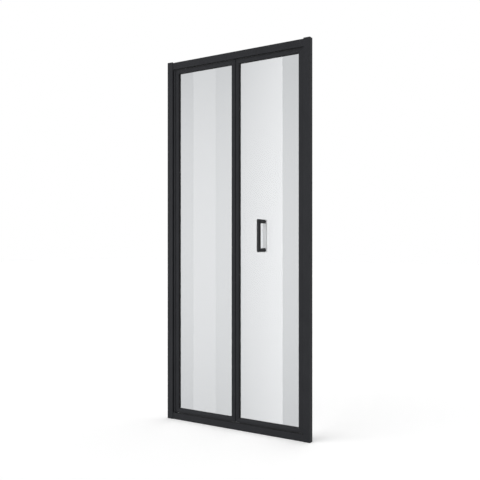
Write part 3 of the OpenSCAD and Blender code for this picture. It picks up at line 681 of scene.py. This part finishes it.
@dataclass
class Panel:
    """One glazed panel: its profiles, corner blocks, pins, glass, gaskets, drip seal and magnet."""

    finishes: Finishes
    body: Body
    suffix: str
    stiles: tuple[str, str]
    corners: tuple[str, ...]
    pins: tuple[str, ...] = ()
    magnets: tuple[str, ...] = ()
    die_radius: float = 0.35 * MM
    magnet_radius: float = 0.3 * MM
    glass_arris: float = 0.5 * MM
    glass_bite: float = 7 * MM
    gasket_bite: float = 6.5 * MM
    gasket_lip: float = 1.6 * MM
    # How far a gasket stays clear of the glass and of its solid's face, as a share of its thickness
    gasket_hollow: float = 0.03
    # Corners of the gasket's round lip, as shares of its width and of the gasket's thickness
    gasket_bulge: tuple[tuple[float, float], ...] = ((0.45, 0.95), (0.8, 0.7), (0.98, 0.35))
    seal_foot: float = 1.1 * MM
    fin_wall: float = 0.9 * MM
    fin_apart: float = 1.6 * MM
    fin_curl: float = 3.4 * MM
    fin_overlap: float = 0.05 * MM
    fin_steps: int = 4
    # Share of its wall that a fin loses at each step towards its tip
    fin_taper: float = 0.1

    def build(self) -> None:
        """Dresses the whole panel."""
        for node in (*self.stiles, f"top_rail_{self.suffix}", f"bottom_rail_{self.suffix}"):
            soften_node(node, f"{node}_profile", self.finishes.coat, self.body, self.die_radius)
        for node in self.corners:
            dress(node, self.finishes.cast)
        for node in (f"corner_screws_{self.suffix}", *self.pins):
            dress(node, self.finishes.steel)
        self.glaze()
        self.seal_glass()
        self.hang_drip_seal()
        for node in self.magnets:
            soften_node(node, f"{node}_strip", self.finishes.magnet, self.body, self.magnet_radius)
        log.info("%s built", self.body.value)

    def glaze(self) -> bpy.types.Object:
        """Builds the pane with its arrissed edges.

        Returns:
            The pane. It lets light through to the floor and to the pad behind it, so it throws no shadow.
        """
        pane = soften_node(f"glass_{self.suffix}", f"pane_{self.suffix}", self.finishes.glass, self.body,
                           self.glass_arris)
        # Flat shading keeps the sheet free of the hair lines that blended normals leave between its holes
        pane.modifiers.clear()
        for polygon in pane.data.polygons:
            polygon.use_smooth = False
        pane.visible_shadow = pane.visible_diffuse = False
        return pane

    def sight(self) -> tuple[tuple[float, float], tuple[float, float]]:
        """Finds the opening that the profiles leave for the glass.

        Returns:
            Its left and right side, and its lower and upper side.
        """
        low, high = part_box(f"glass_{self.suffix}")
        bite = self.glass_bite
        return (low.x + bite, high.x - bite), (low.z + bite, high.z - bite)

    def seal_glass(self) -> bpy.types.Object:
        """Runs a wedge gasket with a round lip round both faces of the pane.

        Returns:
            The gaskets.
        """
        glass_low, glass_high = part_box(f"glass_{self.suffix}")
        gasket_low, gasket_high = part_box(f"gaskets_{self.suffix}")
        thick = (gasket_high.y - gasket_low.y - (glass_high.y - glass_low.y)) / 2
        x, z = self.sight()
        full, hollow = 1 - self.gasket_hollow, self.gasket_hollow
        lip = [(self.gasket_lip * across, thick * up) for across, up in
               ((0.0, full), *self.gasket_bulge, (1.0, hollow))]
        profile = [(-self.gasket_bite, full * thick), *lip, (-self.gasket_bite, hollow * thick)]
        rings = [ring_from_profile(x, z, profile, y, facing)
                 for y, facing in ((glass_low.y, -1), (glass_high.y, 1))]
        piece = finish_mesh(joined(rings), f"wedge_gaskets_{self.suffix}", self.finishes.rubber, self.body)
        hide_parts(f"gaskets_{self.suffix}")
        return piece

    def hang_drip_seal(self) -> bpy.types.Object:
        """Builds the drip seal: a foot and two fins that curl outwards.

        Returns:
            The seal.
        """
        node = f"drip_seal_{self.suffix}"
        low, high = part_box(node)
        middle = (low.y + high.y) / 2
        length = (high.x - low.x, 0, 0)
        top, root_z = high.z, high.z - self.seal_foot
        drop = root_z - low.z
        base = extruded([(low.x, low.y, top), (low.x, high.y, top), (low.x, high.y, root_z),
                         (low.x, low.y, root_z)], length)
        steps = [k / self.fin_steps for k in range(self.fin_steps + 1)]
        fins = []
        for lean in (-1, 1):
            root = middle + lean * self.fin_apart
            outer = [(low.x, root + lean * self.fin_curl * t * t, root_z + self.fin_overlap - drop * t)
                     for t in steps]
            inner = [(px, py - lean * self.fin_wall * (1 - self.fin_taper * k), pz)
                     for k, (px, py, pz) in enumerate(outer)]
            fins.append(extruded(outer + inner[::-1], length))
        piece = finish_mesh(joined([base, *fins]), f"drip_fins_{self.suffix}", self.finishes.rubber,
                            self.body)
        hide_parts(node)
        return piece


@dataclass
class FoldHinge:
    """The full-height hinge between the panels: its pin, the bushes between its knuckles and the seal."""

    finishes: Finishes
    knuckles: int = 13
    bush_radius: float = 4.3 * MM
    bush_height: float = 0.4 * MM
    bush_play: float = 0.05 * MM
    dome: float = 0.8 * MM
    seal_radius: float = 0.5 * MM
    ring_steps: int = 32

    def build(self) -> None:
        """Builds the pin, the bushes and the seal."""
        self.turn_pin()
        self.set_bushes()
        soften_node("fold_seal", "fold_seal_strip", self.finishes.rubber, Body.LEFT, self.seal_radius)
        log.info("fold hinge: %d knuckles", self.knuckles)

    def turn_pin(self) -> bpy.types.Object:
        """Turns the hinge pin, with domed ends.

        Returns:
            The pin.
        """
        low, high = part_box("fold_pin")
        centre = Vector(((low.x + high.x) / 2, (low.y + high.y) / 2, 0))
        radius = (high.x - low.x) / 2
        ends = [(low.z, 0.0), (low.z, radius - self.dome), (low.z + self.dome, radius)]
        profile = ends + [(high.z - self.dome, radius), (high.z, radius - self.dome), (high.z, 0.0)]
        bm = turned(profile, centre, UP, self.ring_steps)
        piece = finish_mesh(bm, "hinge_pin", self.finishes.steel, Body.LEFT)
        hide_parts("fold_pin")
        return piece

    def set_bushes(self) -> bpy.types.Object:
        """Sets a thin nylon bush in each gap between two knuckles.

        Returns:
            The bushes.
        """
        pin_low, pin_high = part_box("fold_pin")
        stile_low, stile_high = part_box("fold_stile_a")
        x, y = (pin_low.x + pin_high.x) / 2, (pin_low.y + pin_high.y) / 2
        inner = (pin_high.x - pin_low.x) / 2 + self.bush_play
        pitch = (stile_high.z - stile_low.z) / self.knuckles
        half = self.bush_height / 2
        ring = [(-half, inner), (-half, self.bush_radius), (half, self.bush_radius), (half, inner),
                (-half, inner)]
        bushes = [turned(ring, Vector((x, y, stile_low.z + pitch * i)), UP, self.ring_steps)
                  for i in range(1, self.knuckles)]
        piece = finish_mesh(joined(bushes), "hinge_bushes", self.finishes.nylon, Body.LEFT)
        return piece


@dataclass
class BarHandle:
    """The mitred bar outside, the flat plate inside, and what clamps them to the glass."""

    finishes: Finishes
    body: Body = Body.RIGHT
    ring_steps: int = 40
    mitre_radius: float = 2.0 * MM
    end_radius: float = 0.5 * MM
    bar_edge_steps: int = 4
    bolt_radius: float = 3.3 * MM
    # Bevel of a washer's rim, as a share of its thickness
    washer_edge: float = 0.3
    plate_radius: float = 0.6 * MM
    pad_radius: float = 0.2 * MM

    def build(self) -> None:
        """Builds the bar, its washers, the inner plate, its pad and the screws."""
        self.weld_bar()
        self.seat_washers()
        dress("handle_sleeves", self.finishes.nylon)
        soften_node("inner_plate", "inner_clamp_plate", self.finishes.bar_coat, self.body,
                    self.plate_radius)
        soften_node("inner_pad", "inner_pad_sheet", self.finishes.pad, self.body, self.pad_radius)
        dress("handle_bolts", self.finishes.steel)
        log.info("bar handle built")

    def weld_bar(self) -> bpy.types.Object:
        """Runs a round bar from post to grip to post, mitred, welded and ground smooth at both corners.

        Returns:
            The bar.
        """
        low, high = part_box("handle_bar")
        radius = (high.x - low.x) / 2
        x, grip_y = (low.x + high.x) / 2, low.y + radius
        out, down, back = Vector((0, -1, 0)), Vector((0, 0, -1)), Vector((0, 1, 0))
        bm = bmesh.new()
        start = Matrix.Translation((x, high.y, high.z - radius)) @ Matrix.Rotation(math.pi / 2, 4, "X")
        bmesh.ops.create_circle(bm, cap_ends=True, segments=self.ring_steps, radius=radius, matrix=start)
        face = bm.faces[:][0]
        ends = list(face.edges)
        face = self.run_on(bm, face, out, Vector((x, grip_y, high.z - radius)), out + down, keep=True)
        mitres = list(face.edges)
        face = self.run_on(bm, face, down, Vector((x, grip_y, low.z + radius)), down + back)
        mitres += face.edges
        face = self.run_on(bm, face, back, Vector((x, high.y, low.z + radius)), back)
        ends += face.edges
        bmesh.ops.recalc_face_normals(bm, faces=bm.faces)
        for edges, size in ((mitres, self.mitre_radius), (ends, self.end_radius)):
            bmesh.ops.bevel(bm, geom=edges, offset=size, offset_type="OFFSET", segments=self.bar_edge_steps,
                            profile=ROUND, affect="EDGES", clamp_overlap=True, material=-1)
        bmesh.ops.remove_doubles(bm, verts=bm.verts, dist=WELD)
        bmesh.ops.recalc_face_normals(bm, faces=bm.faces)
        piece = finish_mesh(bm, "mitred_bar", self.finishes.bar_coat, self.body)
        keep_flats(piece)
        # The bright reflections in the pane drown the bar's own image, so the bar isn't mirrored there
        piece.visible_glossy = False
        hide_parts("handle_bar")
        return piece

    def run_on(self, bm: bmesh.types.BMesh, face: bmesh.types.BMFace, along: Vector, point: Vector,
               normal: Vector, keep: bool = False) -> bmesh.types.BMFace:
        """Extrudes the bar's end face until it meets a plane.

        Args:
            bm: The bar so far.
            face: Its end face.
            along: Direction of the run.
            point: A point of the plane that ends the run.
            normal: Normal of that plane.
            keep: Keeps the old face, as the bar's first end.

        Returns:
            The new end face.
        """
        grown = bmesh.ops.extrude_face_region(bm, geom=[face], use_keep_orig=keep)["geom"]
        if not keep:
            bmesh.ops.delete(bm, geom=[face], context="FACES_ONLY")
        new = next(g for g in grown if isinstance(g, bmesh.types.BMFace))
        for vert in new.verts:
            reach = (point - vert.co).dot(normal) / along.dot(normal)
            bmesh.ops.translate(bm, verts=[vert], vec=along * reach)
        return new

    def seat_washers(self) -> bpy.types.Object:
        """Puts a soft washer between each post and the glass.

        Returns:
            The two washers.
        """
        low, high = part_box("handle_pads")
        bar_low, bar_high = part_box("handle_bar")
        x, radius = (bar_low.x + bar_high.x) / 2, (bar_high.x - bar_low.x) / 2
        thick = high.y - low.y
        edge = self.washer_edge * thick
        ring = [(0, self.bolt_radius), (0, radius - edge), (edge, radius), (thick - edge, radius),
                (thick, radius - edge), (thick, self.bolt_radius), (0, self.bolt_radius)]
        washers = [turned(ring, Vector((x, low.y, z)), Vector((0, 1, 0)), self.ring_steps)
                   for z in (bar_low.z + radius, bar_high.z - radius)]
        piece = finish_mesh(joined(washers), "post_washers", self.finishes.rubber, self.body)
        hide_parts("handle_pads")
        return piece


@dataclass
class Carriage:
    """The carriage in the head track, with its wheels and axles."""

    finishes: Finishes
    wheel_width: float = 5.6 * MM
    hub_radius: float = 4.0 * MM
    web_depth: float = 1.7 * MM
    web_foot: float = 4.4 * MM
    rim_depth: float = 2.1 * MM
    crown: float = 0.6 * MM
    crown_width: float = 1.5 * MM
    bore_play: float = 0.02 * MM
    mould_radius: float = 0.6 * MM
    ring_steps: int = 56
    pairs: tuple[tuple[str, Body], ...] = (("front", Body.WHEELS_FRONT), ("rear", Body.WHEELS_REAR))

    def build(self) -> None:
        """Builds the block, the pins and both pairs of wheels."""
        soften_node("carriage_block", "carriage_moulding", self.finishes.nylon, Body.CARRIAGE,
                    self.mould_radius)
        dress("carriage_pin", self.finishes.steel)
        for place, body in self.pairs:
            dress(f"axle_{place}", self.finishes.steel)
            self.roll_wheels(place, body)
        log.info("carriage built")

    def roll_wheels(self, place: str, body: Body) -> bpy.types.Object:
        """Turns a pair of wheels with a grooved web and a crowned tread.

        Args:
            place: "front" or "rear".
            body: The body that turns.

        Returns:
            The pair.
        """
        low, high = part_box(f"wheels_{place}")
        axle_low, axle_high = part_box(f"axle_{place}")
        centre = (low + high) / 2
        radius = (high.z - low.z) / 2
        bore = (axle_high.z - axle_low.z) / 2 + self.bore_play
        outer = high.y - centre.y
        face = outer - self.wheel_width
        # Half of the wheel's section, from its bore over the web and the rim to the tread
        half = [(0.0, bore), (0.0, self.hub_radius), (self.web_depth, self.web_foot),
                (self.web_depth, radius - self.rim_depth - self.crown / 2), (0.0, radius - self.rim_depth),
                (0.0, radius - self.crown), (self.crown_width, radius)]
        profile = [(face + a, r) for a, r in half] + [(outer - a, r) for a, r in reversed(half)]
        wheels = [turned([*profile, profile[0]], centre, Vector((0, side, 0)), self.ring_steps)
                  for side in (-1, 1)]
        piece = finish_mesh(joined(wheels), f"wheel_pair_{place}", self.finishes.nylon, body)
        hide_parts(f"wheels_{place}")
        return piece


@dataclass
class SillGuide:
    """The shoe that runs in the sill."""

    finishes: Finishes
    mould_radius: float = 0.6 * MM

    def build(self) -> None:
        """Dresses the shoe and its pin."""
        soften_node("guide_shoe", "guide_shoe_moulding", self.finishes.nylon, Body.GUIDE,
                    self.mould_radius)
        dress("guide_pin", self.finishes.steel)
        log.info("sill guide built")


@dataclass(frozen=True)
class Lamp:
    """A far, wide soft lamp, which lights the floor evenly out to its edge.

    shines is the direction that its light goes, spread the angle in degrees that it fills in the sky, and
    strength its light on a face turned to it, in watts per square metre.
    """

    name: str
    shines: tuple[float, float, float]
    spread: float
    strength: float
    distance: float = 6.0

    def hang(self) -> None:
        """Hangs the lamp. It lights surfaces, but is neither seen nor mirrored, nor seen through glass."""
        data = bpy.data.lights.new(self.name, "SUN")
        data.angle = math.radians(self.spread)
        data.energy = self.strength
        lamp = bpy.data.objects.new(self.name, data)
        bpy.context.scene.collection.objects.link(lamp)
        lamp.location = -Vector(self.shines).normalized() * self.distance
        lamp.rotation_euler = Vector(self.shines).to_track_quat("-Z", "Y").to_euler()
        lamp.visible_camera = lamp.visible_glossy = lamp.visible_transmission = False


@dataclass(frozen=True)
class Card:
    """A bright card that shows only as a reflection in the panes.

    x is its left and right edge, and y its distance before the door. A plain card is rise brighter than
    white at the height of the camera, and extra is what this one has over it at its left and right edge.
    It fades above and below with the square of the height. At fade_height a plain one is down to white,
    which is what surrounds it, and no card goes below that.
    """

    name: str
    x: tuple[float, float]
    y: float
    extra: tuple[float, float]
    rise: float = 2.6
    fade_height: float = 1.98
    half_height: float = 3.0

    def stand(self, middle: float) -> None:
        """Stands the card up.

        Args:
            middle: Height of its middle, where it is brightest.
        """
        left, right = self.x
        level_left, level_right = (1.0 + self.rise + extra for extra in self.extra)
        bm = bmesh.new()
        # A grid of half a metre's reach is a metre wide, so that scaling it gives the card its size
        bmesh.ops.create_grid(bm, x_segments=1, y_segments=1, size=0.5)
        bmesh.ops.rotate(bm, verts=bm.verts, cent=(0, 0, 0), matrix=Matrix.Rotation(math.pi / 2, 3, "X"))
        bmesh.ops.scale(bm, verts=bm.verts, vec=(right - left, 1, 2 * self.half_height))
        bmesh.ops.translate(bm, verts=bm.verts, vec=((left + right) / 2, self.y, middle))
        material, tree, output = blank_material(self.name)
        place = add_node(tree, "ShaderNodeTexCoord").outputs["Object"]
        apart = add_node(tree, "ShaderNodeSeparateXYZ", {"Vector": place})
        across = add_node(tree, "ShaderNodeMapRange",
                          {"Value": apart.outputs["X"], "From Min": left, "From Max": right,
                           "To Min": level_left, "To Max": level_right})
        height = add_node(tree, "ShaderNodeMapRange",
                          {"Value": apart.outputs["Z"], "From Min": middle,
                           "From Max": middle + self.fade_height}, clamp=False)
        square = add_node(tree, "ShaderNodeMath", {0: height.outputs["Result"], 1: 2.0}, operation="POWER")
        fade = add_node(tree, "ShaderNodeMath",
                        {0: square.outputs[0], 1: -self.rise, 2: across.outputs["Result"]},
                        operation="MULTIPLY_ADD")
        lit = add_node(tree, "ShaderNodeMath", {0: fade.outputs[0], 1: 1.0}, operation="MAXIMUM")
        light = add_node(tree, "ShaderNodeEmission", {"Strength": lit.outputs[0]})
        tree.links.new(light.outputs[0], output.inputs["Surface"])
        card = new_object(bm, self.name, material)
        card.visible_camera = card.visible_diffuse = card.visible_shadow = card.visible_transmission = False


@dataclass
class Studio:
    """Pale floor, soft lamps, white surroundings, reflected cards and the camera."""

    camera_place: tuple[float, float, float] = (1.730, -2.759, 0.923)
    camera_turn: float = 31.77
    lens: float = 48.42
    shift_y: float = 0.0117
    # Strength of the surroundings where they light a surface. Where they are seen it is 1, which is white
    fill: float = 0.55
    floor_colour: str = "#F2F2F2"
    # What the floor shows to the camera on top of the light that it gives back
    floor_glow: float = 0.19
    floor_reach: float = 30.0
    floor_depth: float = 0.2 * MM
    # The key lamp hangs before the door, up and to the left, and a weaker one behind it
    lamps: tuple[Lamp, ...] = (Lamp("key", (0.35, 0.75, -0.7), 50.0, 1.3),
                               Lamp("back", (-0.3, -0.7, -0.8), 60.0, 0.6))
    # Their reflections give the panes their soft upright bands
    cards: tuple[Card, ...] = (Card("glow", (-3.42, -0.42), -3.02, (-0.05, -0.75)),
                               Card("band_left", (-2.434, -2.14), -3.0, (1.15, 1.15)),
                               Card("band_middle", (-2.14, -1.839), -3.0, (0.0, 0.45)),
                               Card("band_right", (-1.839, -1.329), -3.0, (0.76, 3.6)))

    def build(self) -> None:
        """Sets up everything round the door."""
        self.set_world()
        self.lay_floor()
        self.place_camera()
        for lamp in self.lamps:
            lamp.hang()
        for card in self.cards:
            card.stand(self.camera_place[2])
        bpy.context.scene.view_settings.view_transform = "Standard"
        log.info("studio set: %d lamps, %d cards", len(self.lamps), len(self.cards))

    def set_world(self) -> None:
        """Makes the surroundings a soft fill to light with, and white for the rays that see them."""
        world = bpy.data.worlds.new("studio")
        bpy.context.scene.world = world
        world.use_nodes = True
        tree = world.node_tree
        tree.nodes.clear()
        path = add_node(tree, "ShaderNodeLightPath")
        direct = add_node(tree, "ShaderNodeMath",
                          {0: path.outputs["Is Camera Ray"], 1: path.outputs["Is Glossy Ray"]},
                          operation="MAXIMUM")
        seen = add_node(tree, "ShaderNodeMath",
                        {0: direct.outputs[0], 1: path.outputs["Is Transmission Ray"]}, operation="MAXIMUM")
        strength = add_node(tree, "ShaderNodeMapRange",
                            {"Value": seen.outputs[0], "To Min": self.fill, "To Max": 1.0})
        background = add_node(tree, "ShaderNodeBackground",
                              {"Color": linear("#FFFFFF"), "Strength": strength.outputs["Result"]})
        output = add_node(tree, "ShaderNodeOutputWorld")
        tree.links.new(background.outputs["Background"], output.inputs["Surface"])

    def lay_floor(self) -> None:
        """Lays a pale floor under the sill, which keeps the door's shadow.

        Seen through the glass it gives way to the white surroundings, as a studio backdrop does.
        """
        bm = bmesh.new()
        bmesh.ops.create_grid(bm, x_segments=1, y_segments=1, size=self.floor_reach,
                              matrix=Matrix.Translation((0, 0, -self.floor_depth)))
        material, tree, output = blank_material("pale_floor")
        path = add_node(tree, "ShaderNodeLightPath")
        glow = add_node(tree, "ShaderNodeMath", {0: path.outputs["Is Camera Ray"], 1: self.floor_glow},
                        operation="MULTIPLY")
        diffuse = add_node(tree, "ShaderNodeBsdfDiffuse", {"Color": linear(self.floor_colour)})
        light = add_node(tree, "ShaderNodeEmission",
                         {"Color": linear("#FFFFFF"), "Strength": glow.outputs[0]})
        both = add_node(tree, "ShaderNodeAddShader", {0: diffuse.outputs[0], 1: light.outputs[0]})
        clear = add_node(tree, "ShaderNodeBsdfTransparent")
        laid = add_node(tree, "ShaderNodeMixShader",
                        {0: path.outputs["Is Transmission Ray"], 1: both.outputs[0], 2: clear.outputs[0]})
        tree.links.new(laid.outputs[0], output.inputs["Surface"])
        floor = new_object(bm, "floor", material)
        floor.visible_glossy = False

    def place_camera(self) -> None:
        """Stands the camera level, to the right of the door."""
        data = bpy.data.cameras.new("camera")
        data.lens = self.lens
        data.shift_y = self.shift_y
        camera = bpy.data.objects.new("camera", data)
        bpy.context.scene.collection.objects.link(camera)
        camera.location = self.camera_place
        camera.rotation_euler = (math.pi / 2, 0, math.radians(self.camera_turn))
        bpy.context.scene.camera = camera


def main() -> None:
    """Builds the door's looks and the studio."""
    logging.basicConfig(level=logging.INFO, format="%(name)s: %(message)s")
    finishes = Finishes()
    OuterFrame(finishes).build()
    Panel(finishes, Body.LEFT, "a", stiles=("pivot_stile", "fold_stile_a"),
          corners=("pivot_corner_top", "pivot_corner_bottom", "fold_corners_a"),
          pins=("pivot_pin_top", "pivot_pin_bottom")).build()
    Panel(finishes, Body.RIGHT, "b", stiles=("lead_stile", "fold_stile_b"),
          corners=("lead_corner_top", "lead_corner_bottom", "fold_corners_b"),
          magnets=("lead_magnet",)).build()
    FoldHinge(finishes).build()
    BarHandle(finishes).build()
    Carriage(finishes).build()
    SillGuide(finishes).build()
    Studio().build()


if __name__ == "__main__":
    main()
